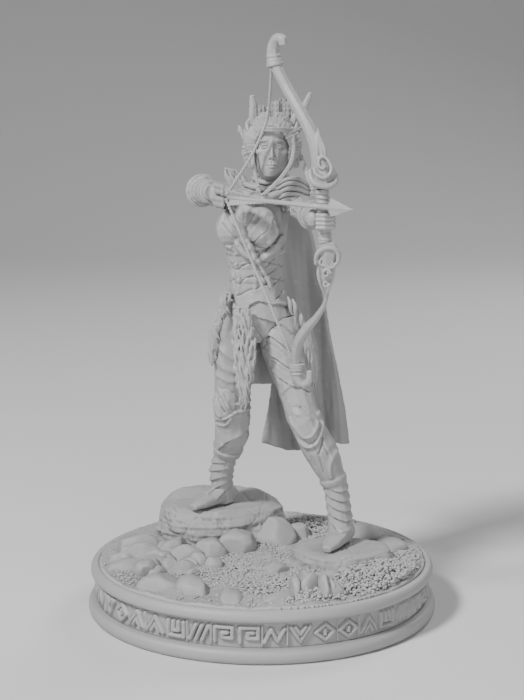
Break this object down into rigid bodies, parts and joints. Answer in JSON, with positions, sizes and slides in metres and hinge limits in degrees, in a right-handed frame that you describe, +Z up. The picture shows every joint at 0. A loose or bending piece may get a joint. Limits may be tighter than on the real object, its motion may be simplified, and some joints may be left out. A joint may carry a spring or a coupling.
{
  "type": "miniature figure",
  "caption": "Unpainted grey resin tabletop miniature: an armoured archer in a long cape draws a recurve bow on a round scenic base.",
  "frame": {"origin": "centre of the round base's underside, which is the bottom centre of the bounding box", "axes": "+Z up through the figure, -Y the way the figure and the picture's camera face each other (the figure looks along -Y), +X to the viewer's right, the side the bow is held on"},
  "size_m": [0.06, 0.06, 0.0976],
  "materials": {
    "resin_base": "smooth unpainted light grey cast resin",
    "resin_terrain": "rough textured unpainted light grey cast resin",
    "resin_figure": "finely sculpted unpainted light grey cast resin",
    "resin_hair": "strand-textured unpainted light grey cast resin",
    "resin_cloth": "draped-cloth sculpt in unpainted light grey cast resin",
    "resin_weapon": "smooth and wrapped details in unpainted light grey cast resin"
  },
  "bodies": {
    "root": {"plinth": "resin_base", "scenic_ground": "resin_terrain", "rear_rock": "resin_terrain", "front_rock": "resin_terrain", "right_leg": "resin_figure", "left_leg": "resin_figure", "pelvis": "resin_figure", "torso": "resin_figure", "head": "resin_figure", "hair": "resin_hair", "circlet": "resin_figure", "prong_right": "resin_figure", "prong_left": "resin_figure", "braid_right": "resin_hair", "braid_left": "resin_hair", "braid_shoulder": "resin_hair", "mantle": "resin_cloth", "collar_plate": "resin_figure", "cape": "resin_cloth", "coat_tail": "resin_cloth", "quiver": "resin_figure", "quiver_arrows": "resin_weapon", "right_upper_arm": "resin_figure", "right_forearm": "resin_figure", "right_hand": "resin_figure", "left_upper_arm": "resin_figure", "left_forearm": "resin_figure", "left_hand": "resin_figure", "bow_grip": "resin_weapon", "upper_guard": "resin_weapon", "lower_guard": "resin_weapon", "upper_limb": "resin_weapon", "lower_limb": "resin_weapon", "upper_tip": "resin_weapon", "lower_tip": "resin_weapon", "bowstring_upper": "resin_weapon", "bowstring_lower": "resin_weapon", "arrow_shaft": "resin_weapon", "arrow_head": "resin_weapon", "arrow_flights": "resin_weapon", "front_fur": "resin_hair", "right_hip_fur": "resin_hair", "left_hip_fur": "resin_hair", "belt": "resin_figure", "chest_strap": "resin_figure", "right_knee_guard": "resin_figure", "left_knee_guard": "resin_figure"}
  },
  "joints": []
}
